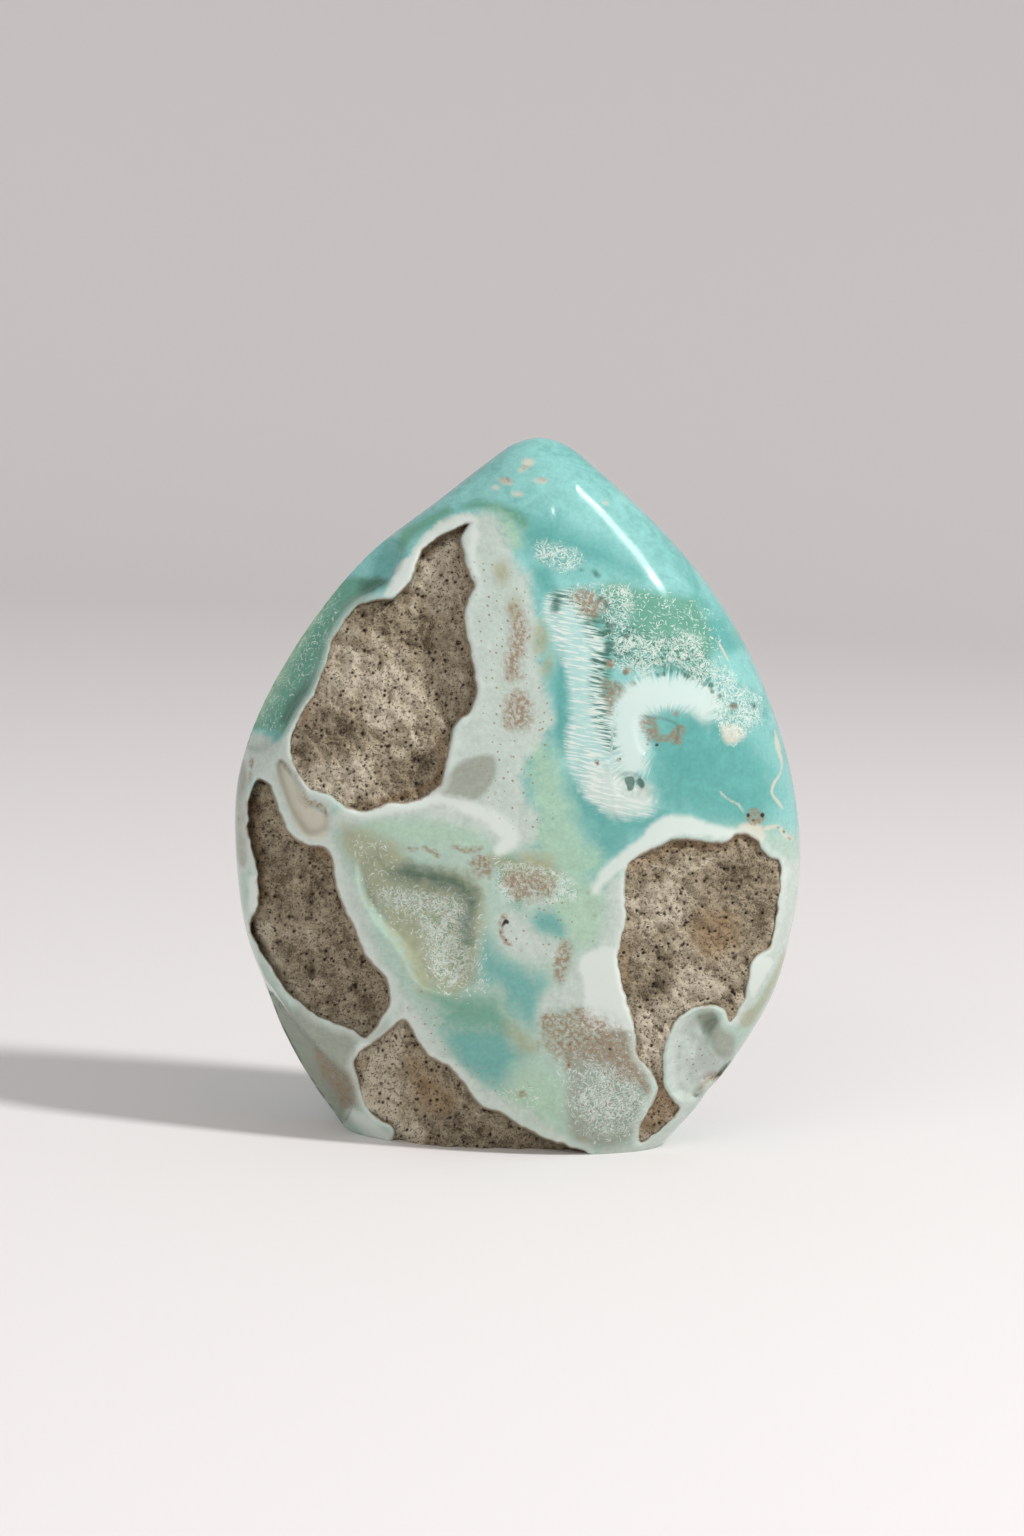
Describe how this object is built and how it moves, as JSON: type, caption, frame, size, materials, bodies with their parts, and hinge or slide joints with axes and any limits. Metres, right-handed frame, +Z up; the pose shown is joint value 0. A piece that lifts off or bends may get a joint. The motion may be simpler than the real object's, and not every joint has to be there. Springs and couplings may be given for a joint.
{
  "type": "polished stone flame carving",
  "caption": "Upright polished freeform flame in blue aragonite, with rough brown matrix windows, smooth side hollows and a flat foot to stand on.",
  "frame": {"origin": "middle of the stone's outline, on the plane of its flat foot", "axes": "+X to the right as the front face is seen, +Y from the front face to the back, +Z up to the tip"},
  "size_m": [0.0749, 0.0354, 0.0928],
  "materials": {
    "stone": "hand-polished, soft gloss, with rough unpolished windows"
  },
  "bodies": {
    "root": {"aragonite_flame": "stone"}
  },
  "joints": []
}
